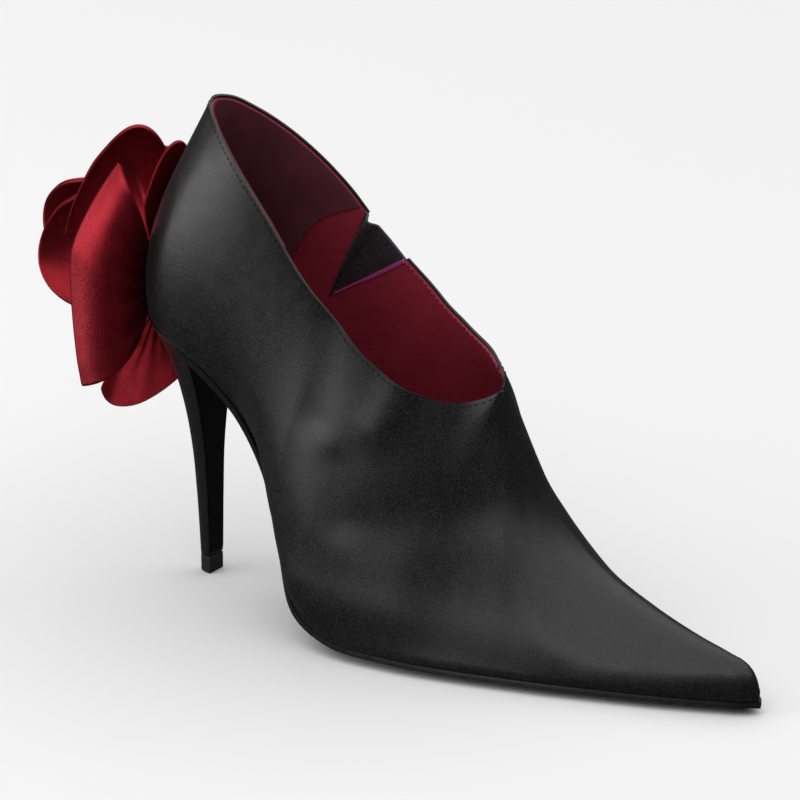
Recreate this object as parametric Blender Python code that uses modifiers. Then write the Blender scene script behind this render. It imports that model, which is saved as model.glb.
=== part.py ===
"""A right-foot stiletto: a black satin upper on a pointed last, a covered slim heel,
a leather sole, an elastic gusset on the inner side and a fabric rose at the back.

Frame: origin on the floor under the middle of the heel's tip, +X towards the toe,
+Y towards the inner side of the foot, +Z up.  Lengths are millimetres, scaled when placed.
"""

import math

import bmesh
import bpy
import numpy as np

MM = 0.001
WELD = 0.001             # corners closer than this fall together
TANGENT_STEP = 0.01      # share of a row used to find a direction

# Driving dimensions
WALL = 1.7               # satin, backer and lining together
GAP = 0.3                # clearance between pieces that touch on the real shoe
SOLE_EDGE = 1.8          # outsole thickness at its edge
WAIST_CROWN = 0.8        # how much thicker the outsole is along the middle of its waist
TREAD_CROWN = 2.6        # and how much more below the ball, where it meets the floor
SOLE_OVERHANG = 0.9      # how far the sole's edge stands out past the upper
INSOLE_THICKNESS = 1.6
INSOLE_TOE_X = 201.0     # the insole stops short of the narrow toe
BREAST_X = 1.6           # flat front face of the heel
TOP_PIECE_HEIGHT = 6.0
GUSSET_THICKNESS = 1.0

# The last's feather edge, heel to toe: where the upper's side meets the sole.
# Columns: x, reach and height on the outer side, reach and height on the inner side,
# then belly and rise: how far out and how far up the wall's lower handle lies.
FEATHER = (
    (-20.5, 0.0, 96.5, 0.0, 96.5, 6.8, 0.36),
    (-17.6, 10.2, 95.6, 10.2, 95.6, 6.3, 0.36),
    (-10.0, 17.6, 93.3, 17.6, 93.3, 5.2, 0.36),
    (0.0, 20.8, 89.4, 20.8, 89.6, 4.2, 0.34),
    (12.0, 20.6, 82.8, 20.6, 83.6, 5.6, 0.28),
    (24.0, 18.6, 71.6, 18.6, 73.4, 9.0, 0.20),
    (36.0, 19.4, 54.6, 17.2, 58.6, 13.0, 0.15),
    (48.0, 27.0, 31.6, 17.8, 39.0, 14.0, 0.13),
    (60.0, 34.6, 12.0, 21.4, 20.4, 10.0, 0.14),
    (75.0, 37.6, 6.5, 28.8, 8.6, 3.0, 0.24),
    (95.0, 36.4, 5.3, 36.5, 5.3, -3.0, 0.38),
    (120.0, 31.4, 5.0, 36.9, 5.0, -10.0, 0.37),
    (134.0, 27.5, 5.0, 33.2, 5.0, -6.0, 0.32),
    (147.0, 23.8, 5.0, 29.0, 5.0, -2.0, 0.29),
    (160.0, 19.4, 5.0, 24.7, 5.0, 0.0, 0.28),
    (175.0, 14.2, 5.0, 19.6, 5.0, 0.2, 0.32),
    (189.0, 8.8, 5.0, 14.7, 5.0, 0.0, 0.40),
    (201.0, 3.6, 5.0, 10.2, 5.0, 0.2, 0.50),
    (208.8, -0.2, 5.0, 7.2, 5.0, 0.2, 0.50),
    (211.9, -3.6, 5.0, 3.6, 5.0, 0.2, 0.50),
)

# The upper's top line, one row for each row above: the collar as far as the throat,
# then the ridge of the vamp, where the outer and inner side share one line.
# Columns: x, reach on the outer side, reach on the inner side, outer height, inner height,
# then drop and spread: how far down and how far out the wall's upper handle lies.
TOP = (
    (4.0, 0.0, 0.0, 170.5, 170.5, 0.33, 0.5),
    (6.6, 6.6, 6.6, 169.4, 169.2, 0.33, 0.5),
    (12.4, 11.8, 11.8, 165.8, 165.2, 0.33, 0.5),
    (20.5, 16.8, 16.8, 160.0, 159.0, 0.33, 0.5),
    (30.5, 21.0, 21.0, 151.6, 150.4, 0.33, 0.5),
    (42.0, 23.6, 23.2, 140.4, 140.0, 0.33, 0.5),
    (54.0, 24.4, 23.6, 125.6, 128.0, 0.33, 0.5),
    (67.0, 24.0, 22.6, 112.4, 118.6, 0.3, 0.5),
    (81.0, 22.6, 20.4, 99.8, 110.0, 0.26, 0.46),
    (95.0, 17.9, 16.2, 90.8, 102.8, 0.24, 0.40),
    (107.0, 10.0, 11.6, 87.3, 97.9, 0.20, 0.32),
    (116.0, -2.5, 2.5, 91.0, 91.0, 0.0, 0.26),
    (120.6, -4.0, 4.0, 74.3, 74.3, 0.0, 0.34),
    (129.0, -7.0, 7.0, 54.2, 54.2, 0.0, 0.42),
    (145.0, -8.5, 8.5, 36.4, 36.4, 0.0, 0.47),
    (167.5, -5.6, 5.6, 26.6, 26.6, 0.0, 0.50),
    (187.5, -4.3, 4.3, 20.6, 20.6, 0.0, 0.50),
    (200.0, -3.9, 3.9, 17.7, 17.7, 0.0, 0.50),
    (207.4, -3.7, 3.7, 15.4, 15.4, 0.0, 0.50),
    (210.8, -3.6, 3.6, 11.2, 11.2, 0.0, 0.50),
)
TOE_ROW = len(FEATHER) - 1
THROAT_ROW = 11          # the row where the collar gives way to the vamp's ridge
WRAP_ROW = 7             # from here the wall starts to close over the foot

# How a rib of the upper leaves the sole: at the collar, at the ridge, which it crosses squarely.
RIB_LEAN = (0.12, 0.04)  # how far the lower handle follows the rib inwards

# The heel, from its tip to the seat, as D-shaped sections.
# Columns: height at the breast, height at the back, half width, x of the back.
HEEL = (
    (6.3, 6.3, 3.9, -4.3),
    (29.0, 29.0, 4.75, -5.4),
    (46.0, 46.5, 5.8, -6.9),
    (60.0, 62.0, 8.1, -9.4),
    (70.0, 73.0, 10.6, -12.2),
    (79.0, 83.0, 14.0, -15.6),
    (85.0, 90.8, 17.6, -18.6),
    (88.5, 96.0, 20.7, -20.4),
)

# The notch on the inner side, seen from the side: apex, back corner, front corner.
# Columns: x, height.
NOTCH = ((34.0, 100.0), (54.4, 142.2), (77.0, 126.0))
NOTCH_REACH = (8.0, 42.0)

PART_NAME = "stiletto"
CUTTER_NAME = "stiletto_cutters"


def curve(rows, closed):
    """A smooth curve through the rows; its parameter counts rows."""
    points = np.array(rows, float)
    before = np.roll(points, 1, axis=0)
    after = np.roll(points, -1, axis=0)
    if not closed:
        before[0] = 2 * points[0] - points[1]
        after[-1] = 2 * points[-1] - points[-2]
    behind = np.linalg.norm(points - before, axis=1)[:, None]
    ahead = np.linalg.norm(after - points, axis=1)[:, None]
    slope = ahead * (points - before) / behind + behind * (after - points) / ahead
    slope = slope / (behind + ahead)
    count = len(points)

    def at(t):
        i = math.floor(t)
        if not closed:
            i = min(max(i, 0), count - 2)
        f = t - i
        i = i % count
        j = (i + 1) % count
        bend = f * f * (3 - 2 * f)
        start = f * (1 - f) * (1 - f) * ahead[i]
        end = f * f * (1 - f) * ahead[i]
        return points[i] * (1 - bend) + points[j] * bend + slope[i] * start - slope[j] * end

    return at


def feather_loop():
    """The feather edge as a closed curve: toe, outer side, back, inner side."""
    outer = [(x, -out, out_z, belly, rise) for x, out, out_z, inn, inn_z, belly, rise in FEATHER]
    inner = [(x, inn, inn_z, belly, rise) for x, out, out_z, inn, inn_z, belly, rise in FEATHER]
    return curve(outer[::-1] + inner[1:-1], True)


def collar_loop():
    """The collar as a closed curve: throat, outer side, back, inner side."""
    rows = TOP[:THROAT_ROW + 1]
    outer = [(x, -out, out_z, drop, spread)
             for x, out, inn, out_z, inn_z, drop, spread in rows]
    inner = [(x, inn, inn_z, drop, spread)
             for x, out, inn, out_z, inn_z, drop, spread in rows]
    return curve(outer[::-1] + inner[1:-1], True)


FEATHER_AT = feather_loop()
COLLAR_AT = collar_loop()
RIDGE_AT = curve([(x, inn, inn_z, drop, spread)
                  for x, out, inn, out_z, inn_z, drop, spread in TOP[THROAT_ROW:]], False)


def smooth(edge0, edge1, value):
    """0 below edge0, 1 above edge1, an easy curve between."""
    f = min(max((value - edge0) / (edge1 - edge0), 0.0), 1.0)
    return f * f * (3 - 2 * f)


def outwards(u):
    """The direction, seen from above, that points out of the feather edge at row u."""
    ahead = FEATHER_AT(TOE_ROW + u + TANGENT_STEP)[:2]
    behind = FEATHER_AT(TOE_ROW + u - TANGENT_STEP)[:2]
    step = ahead - behind
    return np.array((-step[1], step[0])) / np.linalg.norm(step)


def rib(u):
    """Handles of the upper's rib at row u; minus is the outer side, plus the inner."""
    row = abs(u)
    base = FEATHER_AT(TOE_ROW + u)
    out = np.append(outwards(u), 0.0)
    if row <= THROAT_ROW:
        top = COLLAR_AT(THROAT_ROW + u)
    else:
        top = RIDGE_AT(row - THROAT_ROW)
    belly, rise = base[3:]
    drop, spread = top[3:]
    base = base[:3]
    top = top[:3]
    wrap = smooth(WRAP_ROW, THROAT_ROW, row)
    lean = RIB_LEAN[0] + (RIB_LEAN[1] - RIB_LEAN[0]) * wrap
    across = (top - base) * (1.0, 1.0, 0.0)
    up = (top - base) * (0.0, 0.0, 1.0)
    square = across * (1.0 - wrap, 1.0, 0.0)
    lower = base + across * lean + up * rise + out * belly
    upper = top - square * spread - up * drop
    return base, lower, upper, top


def upper_point(u, w):
    """Point on the outside of the upper: row u, share w of the way from sole to top."""
    base, lower, upper, top = rib(u)
    v = 1 - w
    return base * v ** 3 + lower * (3 * v * v * w) + upper * (3 * v * w * w) + top * w ** 3


OUTLINE_STEPS = 160      # points along each side when the outline is drawn in
EDGE_STEPS = 10          # points for each row when the last's bottom is measured


def inset_outline(inset):
    """The feather edge drawn in by inset: arrays of x and y for outer and inner side."""
    sides = []
    for sign in (-1, 1):
        points = []
        for k in range(OUTLINE_STEPS + 1):
            u = sign * TOE_ROW * k / OUTLINE_STEPS
            points.append(FEATHER_AT(TOE_ROW + u)[:2] - outwards(u) * inset)
        sides.append(np.array(points))
    return sides


EDGES = [np.array([FEATHER_AT(TOE_ROW + sign * k / EDGE_STEPS)[:3]
                   for k in range(TOE_ROW * EDGE_STEPS + 1)]) for sign in (-1, 1)]


def bed(x, y):
    """Height of the last's bottom: level with the feather edge on both sides."""
    (low, low_z), (high, high_z) = [
        [float(np.interp(x, edge[:, 0], edge[:, k])) for k in (1, 2)] for edge in EDGES]
    share = (y - low) / max(high - low, 1.0)
    return low_z + (high_z - low_z) * min(max(share, 0.0), 1.0)


def off_bed(x, y, depth):
    """Height of the level that lies depth above the last's bottom, square to its slope."""
    slope = (bed(x + 1.0, y) - bed(x - 1.0, y)) / 2.0
    return bed(x, y) + depth * math.hypot(1.0, slope)


def material(name, colour, roughness, metallic=0.0):
    """A plain surface for one piece; colour is linear."""
    made = bpy.data.materials.new(name)
    made.use_nodes = True
    shader = made.node_tree.nodes["Principled BSDF"]
    shader.inputs["Base Color"].default_value = (*colour, 1.0)
    shader.inputs["Roughness"].default_value = roughness
    shader.inputs["Metallic"].default_value = metallic
    return made


def place(name, mesh_builder, surface, collection):
    """Turn a bmesh in millimetres into an object of the part."""
    bmesh.ops.scale(mesh_builder, vec=(MM, MM, MM), verts=mesh_builder.verts)
    mesh = bpy.data.meshes.new(name)
    mesh_builder.to_mesh(mesh)
    mesh_builder.free()
    if surface:
        mesh.materials.append(surface)
    made = bpy.data.objects.new(name, mesh)
    collection.objects.link(made)
    return made


def patch(columns, rows, point):
    """A grid whose corners run 0 to 1 both ways, moved onto point(across, along)."""
    made = bmesh.new()
    bmesh.ops.create_grid(made, x_segments=columns, y_segments=rows, size=0.5)
    for vert in made.verts:
        vert.co = point(vert.co.x + 0.5, vert.co.y + 0.5)
    return made


def weld(made):
    """Join the corners that fall together and turn the faces outwards."""
    bmesh.ops.remove_doubles(made, verts=made.verts, dist=WELD)
    bmesh.ops.recalc_face_normals(made, faces=made.faces)


def capped_loft(rows, point):
    """A tube round the heel's section, closed at both ends."""
    made = patch(HEEL_ROUND_STEPS, rows, point)
    bmesh.ops.remove_doubles(made, verts=made.verts, dist=WELD)
    bmesh.ops.holes_fill(made, edges=made.edges, sides=0)
    bmesh.ops.recalc_face_normals(made, faces=made.faces)
    return made


def solidify(made, thickness, offset):
    """Give an object real thickness, in millimetres."""
    thick = made.modifiers.new("wall", "SOLIDIFY")
    thick.thickness = thickness * MM
    thick.offset = offset


def boolean(made, cutter, operation):
    """Cut an object with another one, exactly."""
    cut = made.modifiers.new("notch", "BOOLEAN")
    cut.object = cutter
    cut.operation = operation
    cut.solver = "EXACT"


for old in list(bpy.data.objects):
    bpy.data.objects.remove(old, do_unlink=True)
parts = bpy.data.collections.new(PART_NAME)
cutters = bpy.data.collections.new(CUTTER_NAME)
bpy.context.scene.collection.children.link(parts)
bpy.context.scene.collection.children.link(cutters)

black_satin = material("black satin", (0.008, 0.008, 0.009), 0.45)
heel_satin = material("heel satin", (0.008, 0.008, 0.009), 0.42)
sole_leather = material("sole leather", (0.006, 0.006, 0.006), 0.3)
insole_leather = material("insole leather", (0.10, 0.012, 0.022), 0.55)
elastic = material("elastic", (0.01, 0.01, 0.012), 0.7)
rubber = material("top piece rubber", (0.012, 0.012, 0.012), 0.6)

# Upper: one hollow wall of satin and lining, open at the collar, the notch and underneath
UPPER_STEPS = 3          # columns for each row of the tables
UPPER_RIB_STEPS = 8
UPPER_FOOT = 1.4         # the wall stands straight this far before it leans


def upper_surface(sink):
    """The outside of the upper as a surface, drawn in by sink."""

    def stand(across, along):
        u = (2 * across - 1) * TOE_ROW
        step = round(along * (UPPER_RIB_STEPS + 1))
        if step == 0:
            return upper_point(u, 0.0)
        w = (step - 1) / UPPER_RIB_STEPS
        return upper_point(u, w) + np.array((0.0, 0.0, UPPER_FOOT)) * (1 - w)

    made = patch(2 * TOE_ROW * UPPER_STEPS, UPPER_RIB_STEPS + 1, stand)
    weld(made)
    made.normal_update()
    back = min(made.faces, key=lambda face: face.calc_center_median().x)
    if back.normal.x > 0:
        bmesh.ops.reverse_faces(made, faces=made.faces)
        made.normal_update()
    for vert in made.verts:
        vert.co -= vert.normal * sink
    return made


def wedge(name, shrink):
    """The notch as a prism across the inner side, its edges drawn in by shrink."""
    corners = np.array(NOTCH)
    middle = corners.mean(axis=0)
    moved = []
    for i in range(3):
        sides = []
        for other in (corners[i - 1], corners[(i + 1) % 3]):
            line = (other - corners[i]) / np.linalg.norm(other - corners[i])
            normal = np.array((-line[1], line[0]))
            if normal @ (middle - corners[i]) < 0:
                normal = -normal
            sides.append(normal)
        moved.append(corners[i] + np.linalg.solve(np.array(sides), (shrink, shrink)))
    made = bmesh.new()
    face = made.faces.new([made.verts.new((x, NOTCH_REACH[0], z)) for x, z in moved])
    pushed = bmesh.ops.extrude_face_region(made, geom=[face])
    ends = [item for item in pushed["geom"] if isinstance(item, bmesh.types.BMVert)]
    bmesh.ops.translate(made, vec=(0.0, NOTCH_REACH[1] - NOTCH_REACH[0], 0.0), verts=ends)
    bmesh.ops.recalc_face_normals(made, faces=made.faces)
    cutter = place(name, made, None, cutters)
    cutter.hide_render = True
    cutter.display_type = "WIRE"
    return cutter


upper = place("upper", upper_surface(0.0), black_satin, parts)
solidify(upper, WALL, -1)
boolean(upper, wedge("notch_cutter", 0.0), "DIFFERENCE")

# Gusset: a panel of elastic that fills the notch, within the thickness of the wall
gusset = place("gusset", upper_surface((WALL - GUSSET_THICKNESS) / 2), elastic, parts)
solidify(gusset, GUSSET_THICKNESS, -1)
boolean(gusset, wedge("gusset_cutter", GAP), "INTERSECT")

# Outsole: thin leather from the heel's breast to the toe, with a flat tread at the ball
SOLE_CROSS_STEPS = 6
SOLE_DROP = GAP + 0.1    # the sole lies this far under the last's bottom
TREAD_START = (50.0, 84.0)   # x where the tread thickens
TREAD_FADE = 100.0           # length over which it thins again towards the toe
STATION_COUNT = 78
END_CROWDING = 0.5       # share of the spacing that draws together towards heel and toe
heel_end = FEATHER[0][0]
sole_tip = FEATHER[TOE_ROW][0] - GAP


def stations():
    """Values of x spread along the curve of the last's bottom, closer at both ends."""
    line = EDGES[0]
    run = np.concatenate(([0.0], np.cumsum(np.linalg.norm(np.diff(line, axis=0), axis=1))))
    even = np.linspace(0.0, 1.0, STATION_COUNT + 1)
    share = even + ((1 - np.cos(math.pi * even)) / 2 - even) * END_CROWDING
    return np.interp(share * run[-1], run, line[:, 0])


STATIONS = [float(x) for x in stations()]
LEAST_STATION = 0.4      # no two cross lines closer than this


def plate(x0, x1, inset, cross_steps, top, bottom):
    """A plate between the two sides of the outline, from x0 to x1, with its own surfaces."""
    outer, inner = inset_outline(inset)
    lines = [x0] + [x for x in STATIONS if x0 + LEAST_STATION < x < x1 - LEAST_STATION] + [x1]

    def flat(across, along):
        x = lines[round(along * (len(lines) - 1))]
        low = np.interp(x, outer[:, 0], outer[:, 1])
        high = np.interp(x, inner[:, 0], inner[:, 1])
        return (x, low + (high - low) * across, 2 * across - 1)

    made = patch(cross_steps, len(lines) - 1, flat)
    pushed = bmesh.ops.extrude_face_region(made, geom=made.faces[:])
    under = {item for item in pushed["geom"] if isinstance(item, bmesh.types.BMVert)}
    for vert in made.verts:
        x, y, side = vert.co
        vert.co.z = bottom(x, y, side) if vert in under else top(x, y, side)
    weld(made)
    return made


def sole_bottom(x, y, side):
    tread = smooth(*TREAD_START, x) * smooth(0.0, TREAD_FADE, sole_tip - x)
    crown = (WAIST_CROWN + TREAD_CROWN * tread) * (1 - side * side)
    return max(off_bed(x, y, -SOLE_DROP - SOLE_EDGE - crown), 0.0)


place("outsole", plate(BREAST_X + GAP, sole_tip, -SOLE_OVERHANG, SOLE_CROSS_STEPS,
                       lambda x, y, side: off_bed(x, y, -SOLE_DROP), sole_bottom), sole_leather,
      parts)

# Insole: a leather sock on its board, inside the upper
INSOLE_CROSS_STEPS = 4
INSOLE_INSET = WALL + 4 * GAP   # clear of the wall where it leans over the foot
insole_back = heel_end + INSOLE_INSET
place("insole", plate(insole_back, INSOLE_TOE_X, INSOLE_INSET, INSOLE_CROSS_STEPS,
                      lambda x, y, side: off_bed(x, y, INSOLE_THICKNESS),
                      lambda x, y, side: bed(x, y)), insole_leather, parts)

# Heel: slim, flat at the breast and round behind, cupped to the seat
HEEL_STEPS = 14
HEEL_ROUND_STEPS = 20
BREAST_SHARE = 0.28      # share of the way round that lies on the flat breast
HEEL_ROUNDNESS = 0.9     # under 1 squares the back of the section
HEEL_AT = curve(HEEL, False)


def heel_point(across, along):
    """Point on the heel: once round the D-shaped section, from tip to seat."""
    front_z, back_z, half, back_x = HEEL_AT(along * (len(HEEL) - 1))
    if across < BREAST_SHARE:
        x = BREAST_X
        y = half * (2 * across / BREAST_SHARE - 1)
    else:
        turn = math.pi * (across - BREAST_SHARE) / (1 - BREAST_SHARE)
        x = BREAST_X - (BREAST_X - back_x) * max(math.sin(turn), 0.0) ** HEEL_ROUNDNESS
        y = half * math.cos(turn)
    share = (BREAST_X - x) / (BREAST_X - back_x)
    return (x, y, front_z + (back_z - front_z) * share)


place("heel", capped_loft(HEEL_STEPS, heel_point), heel_satin, parts)

# Top piece: the rubber block under the heel, flat on the floor
place("top_piece", capped_loft(1, lambda across, along: (
    *heel_point(across, 0.0)[:2], TOP_PIECE_HEIGHT * along)), rubber, parts)

# Rose: doubled satin petals round a rolled bud, sewn to the back of the heel.
# A place in the flower is depth behind the heel, reach across the shoe, height from the middle.
# Angles run round the flower as seen from behind it: 0 outer side, 90 up, 180 inner side.
ROSE_BACK = -21.6        # x of the face it is sewn to
ROSE_HEIGHT = 104.0
ROSE_SQUASH = 0.68       # the gathered middle is narrower across the shoe than it is tall
PETAL = 1.4              # two layers of satin
PETAL_STEPS = (12, 5)
red_satin = material("red satin", (0.22, 0.008, 0.014), 0.4)

# Columns: name, angle and half span of the gathered base, its radius and depth, swell of the
# sides, power of the rim (2 is round, nearer 1 comes to a corner), then start, middle and end
# of the rim, and the bulge of the cup: depth, reach, height.
PETALS = (
    ("petal_outer", 5.0, 46.0, 16.0, -1.7, (2.5, 0.0, 5.0), 1.2,
     (14.0, -24.0, -37.0), (15.0, -26.0, 12.0), (1.7, -16.0, 43.0), (-16.5, -15.0, 0.0)),
    ("petal_top", 85.0, 22.0, 13.4, 0.5, (-1.6, 1.8, 2.7), 2.0,
     (0.0, -6.0, 27.0), (-6.0, 0.0, 45.0), (-11.0, 6.0, 45.0), (-1.0, 1.0, 2.0)),
    ("petal_inner", 204.0, 46.0, 16.0, -1.8, (0.0, -3.0, -13.2), 1.7,
     (8.0, 25.0, 24.0), (20.0, 27.0, -14.0), (8.0, 10.0, -42.0), (-4.0, 11.0, -4.0)),
    ("petal_bottom", 286.0, 20.0, 13.4, -1.5, (3.9, -3.7, -1.0), 2.0,
     (-8.0, 7.0, -36.0), (6.0, -8.0, -47.0), (14.5, -14.0, -41.5), (0.0, -1.0, -3.0)),
    ("petal_fold", 345.0, 33.0, 13.4, -1.3, (-0.4, -0.3, 8.4), 2.0,
     (17.0, -12.0, -32.0), (18.0, -20.0, -4.0), (14.0, -14.0, 24.0), (0.0, -5.5, 0.0)),
    ("petal_side", 150.0, 42.0, 13.4, -1.0, (4.5, 1.0, -9.4), 1.8,
     (10.0, 15.0, 40.0), (34.0, 27.0, 22.0), (36.0, 24.0, -14.0), (-3.0, 11.0, 3.0)),
    ("petal_crown", 92.0, 30.0, 10.8, 1.8, (-1.8, 0.9, 1.8), 2.0,
     (38.0, -8.0, 7.0), (16.0, 0.0, 45.0), (3.0, 10.0, 42.5), (3.0, 8.0, 4.0)),
    ("petal_back", 184.0, 46.0, 10.0, 1.8, (1.6, -0.2, -6.2), 2.0,
     (36.0, 6.0, 26.0), (59.0, 13.0, 9.0), (47.0, 5.0, -15.0), (0.0, 18.0, 0.0)),
    ("petal_low", 262.0, 28.0, 10.8, -0.5, (0.6, -3.0, -0.3), 2.0,
     (16.0, 12.0, -30.0), (22.0, 4.0, -37.0), (20.0, -8.0, -32.0), (0.0, 0.0, -5.0)),
    ("petal_heart", 186.0, 66.0, 7.0, 2.8, (1.4, -0.4, -5.9), 2.0,
     (28.0, -1.0, 27.0), (55.0, 5.0, -1.0), (40.0, -4.0, -22.0), (0.0, 15.0, 0.0)),
    ("petal_heart_outer", 350.0, 60.0, 8.0, 2.8, (0.0, -0.4, 3.8), 2.0,
     (20.0, -1.0, -20.0), (22.0, -13.0, 0.0), (20.0, -5.0, 18.0), (0.0, -5.0, 0.0)),
)


def rose_place(depth, reach, height):
    """A place in the flower, in the shoe's own frame."""
    return np.array((ROSE_BACK - depth, reach, ROSE_HEIGHT + height))


def rose_ring(angle, radius, depth):
    """A place on a squashed ring round the middle of the flower."""
    turn = math.radians(angle)
    return rose_place(depth, -ROSE_SQUASH * radius * math.cos(turn), radius * math.sin(turn))


def petal_point(row):
    """The middle surface of one petal, as a function of its two shares."""
    name, middle, half, ring, seat, swell, power, start, centre, end, bulge = row
    start, centre, end = [rose_place(*spot) for spot in (start, centre, end)]
    cup, stretch = [rose_place(*move) - rose_place(0.0, 0.0, 0.0) for move in (bulge, swell)]

    def point(across, along):
        side = 2 * across - 1
        bend = abs(side) ** power
        rim = start * (bend - side) / 2 + centre * (1 - bend) + end * (bend + side) / 2
        base = rose_ring(middle + half * side, ring, seat)
        handle = (base + rim) / 2 + cup + stretch * side
        back = 1 - along
        return base * back * back + handle * (2 * along * back) + rim * along * along

    return point


for row in PETALS:
    petal = place(row[0], patch(*PETAL_STEPS, petal_point(row)), red_satin, parts)
    solidify(petal, PETAL, 0)

# Bud: one strip of satin rolled round the middle
BUD_TURNS = 2.25
BUD_RADIUS = (2.2, 8.6)  # innermost and outermost turn
BUD_DEPTH = 26.0
BUD_WAIST = 0.62         # share of the radius left at its base
BUD_STEPS = (32, 4)


def bud_point(across, along):
    radius = BUD_RADIUS[0] + (BUD_RADIUS[1] - BUD_RADIUS[0]) * across
    narrow = BUD_WAIST + (1 - BUD_WAIST) * along
    return rose_ring(360.0 * BUD_TURNS * across, radius * narrow, BUD_DEPTH * along)


bud = place("bud", patch(*BUD_STEPS, bud_point), red_satin, parts)
solidify(bud, PETAL, 0)
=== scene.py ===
import math
from functools import lru_cache

import bmesh
import bpy
import numpy as np
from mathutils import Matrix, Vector
from mathutils.bvhtree import BVHTree


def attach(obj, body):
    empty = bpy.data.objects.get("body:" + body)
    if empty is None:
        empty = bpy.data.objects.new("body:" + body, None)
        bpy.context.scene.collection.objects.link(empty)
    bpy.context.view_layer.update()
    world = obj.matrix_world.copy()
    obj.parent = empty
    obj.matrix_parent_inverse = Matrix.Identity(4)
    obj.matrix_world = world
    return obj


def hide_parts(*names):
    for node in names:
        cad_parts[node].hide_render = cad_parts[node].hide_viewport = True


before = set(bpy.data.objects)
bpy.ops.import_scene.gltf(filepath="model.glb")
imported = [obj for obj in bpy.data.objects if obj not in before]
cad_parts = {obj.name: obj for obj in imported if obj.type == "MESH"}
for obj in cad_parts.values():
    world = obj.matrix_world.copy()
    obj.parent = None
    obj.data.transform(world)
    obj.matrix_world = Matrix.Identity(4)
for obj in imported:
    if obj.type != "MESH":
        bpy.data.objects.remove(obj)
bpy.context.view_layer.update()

# Insole
# A sock of burgundy calf glued over the stiff insole board that the whole shoe is built on.
# Its outline is the last's feather edge, the line where the upper turns under to the sole.
# Lengths are in millimetres as far as the studio, and place() turns them to metres.
MM = 0.001
WELD = 0.001
WALL = 1.7
GAP = 0.3
INSOLE_THICKNESS = 1.6
INSOLE_INSET = WALL + 3 * GAP
INSOLE_STEPS = (24, 150)
INSOLE_TOE_ROW = 17.6
INSOLE_ROUNDING = 0.4
TANGENT_STEP = 0.01
SHARP = 50
SHADER = "Principled BSDF"
# x, reach and height on the outer side, reach and height on the inner side, belly, rise
FEATHER = (
    (-20.5, 0.0, 96.5, 0.0, 96.5, 6.8, 0.36),
    (-17.6, 10.2, 95.6, 10.2, 95.6, 6.3, 0.36),
    (-10.0, 17.6, 93.3, 17.6, 93.3, 5.2, 0.36),
    (0.0, 20.8, 89.4, 20.8, 89.6, 4.2, 0.34),
    (12.0, 20.6, 82.8, 20.6, 83.6, 5.6, 0.28),
    (24.0, 18.6, 71.6, 18.6, 73.4, 9.0, 0.20),
    (36.0, 19.4, 54.6, 17.2, 58.6, 13.0, 0.15),
    (48.0, 27.0, 31.6, 17.8, 39.0, 14.0, 0.13),
    (60.0, 34.6, 12.0, 21.4, 20.4, 10.0, 0.14),
    (75.0, 37.6, 6.5, 28.8, 8.6, 3.0, 0.24),
    (95.0, 36.4, 5.3, 36.5, 5.3, -3.0, 0.38),
    (120.0, 31.4, 5.0, 36.9, 5.0, -10.0, 0.37),
    (134.0, 27.5, 5.0, 33.2, 5.0, -6.0, 0.32),
    (147.0, 23.8, 5.0, 29.0, 5.0, -2.0, 0.29),
    (160.0, 19.4, 5.0, 24.7, 5.0, 0.0, 0.28),
    (175.0, 14.2, 5.0, 19.6, 5.0, 0.2, 0.32),
    (189.0, 8.8, 5.0, 14.7, 5.0, 0.0, 0.40),
    (201.0, 3.6, 5.0, 10.2, 5.0, 0.2, 0.50),
    (208.8, -0.2, 5.0, 7.2, 5.0, 0.2, 0.50),
    (211.9, -3.6, 5.0, 3.6, 5.0, 0.2, 0.50),
)
TOE_ROW = len(FEATHER) - 1
EDGE_STEPS = 10


def curve(rows, closed):
    """A smooth curve through the rows; its parameter counts rows."""
    points = np.array(rows, float)
    before = np.roll(points, 1, axis=0)
    after = np.roll(points, -1, axis=0)
    if not closed:
        before[0] = 2 * points[0] - points[1]
        after[-1] = 2 * points[-1] - points[-2]
    behind = np.linalg.norm(points - before, axis=1)[:, None]
    ahead = np.linalg.norm(after - points, axis=1)[:, None]
    slope = ahead * (points - before) / behind + behind * (after - points) / ahead
    slope = slope / (behind + ahead)
    count = len(points)

    def at(t):
        i = math.floor(t)
        if not closed:
            i = min(max(i, 0), count - 2)
        f = t - i
        i = i % count
        j = (i + 1) % count
        bend = f * f * (3 - 2 * f)
        start = f * (1 - f) * (1 - f) * ahead[i]
        end = f * f * (1 - f) * ahead[i]
        return points[i] * (1 - bend) + points[j] * bend + slope[i] * start - slope[j] * end

    return at


FEATHER_AT = curve([(x, -out, out_z, belly, rise)
                    for x, out, out_z, inn, inn_z, belly, rise in FEATHER[::-1]]
                   + [(x, inn, inn_z, belly, rise)
                      for x, out, out_z, inn, inn_z, belly, rise in FEATHER[1:-1]], True)
EDGES = [np.array([FEATHER_AT(TOE_ROW + sign * k / EDGE_STEPS)[:3]
                   for k in range(TOE_ROW * EDGE_STEPS + 1)]) for sign in (-1, 1)]


def outwards(u):
    """The direction, seen from above, that points out of the feather edge at row u."""
    step = FEATHER_AT(TOE_ROW + u + TANGENT_STEP)[:2] - FEATHER_AT(TOE_ROW + u - TANGENT_STEP)[:2]
    return np.array((-step[1], step[0])) / np.linalg.norm(step)


def bed(x, y):
    """Height of the last's bottom, level with the feather edge on both sides."""
    (low, low_z), (high, high_z) = [
        [float(np.interp(x, edge[:, 0], edge[:, k])) for k in (1, 2)] for edge in EDGES]
    share = (y - low) / max(high - low, 1.0)
    return low_z + (high_z - low_z) * min(max(share, 0.0), 1.0)


def off_bed(x, y, depth):
    """Height of the level that lies depth above the last's bottom, square to its slope."""
    slope = (bed(x + 1.0, y) - bed(x - 1.0, y)) / 2.0
    return bed(x, y) + depth * math.hypot(1.0, slope)


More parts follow.
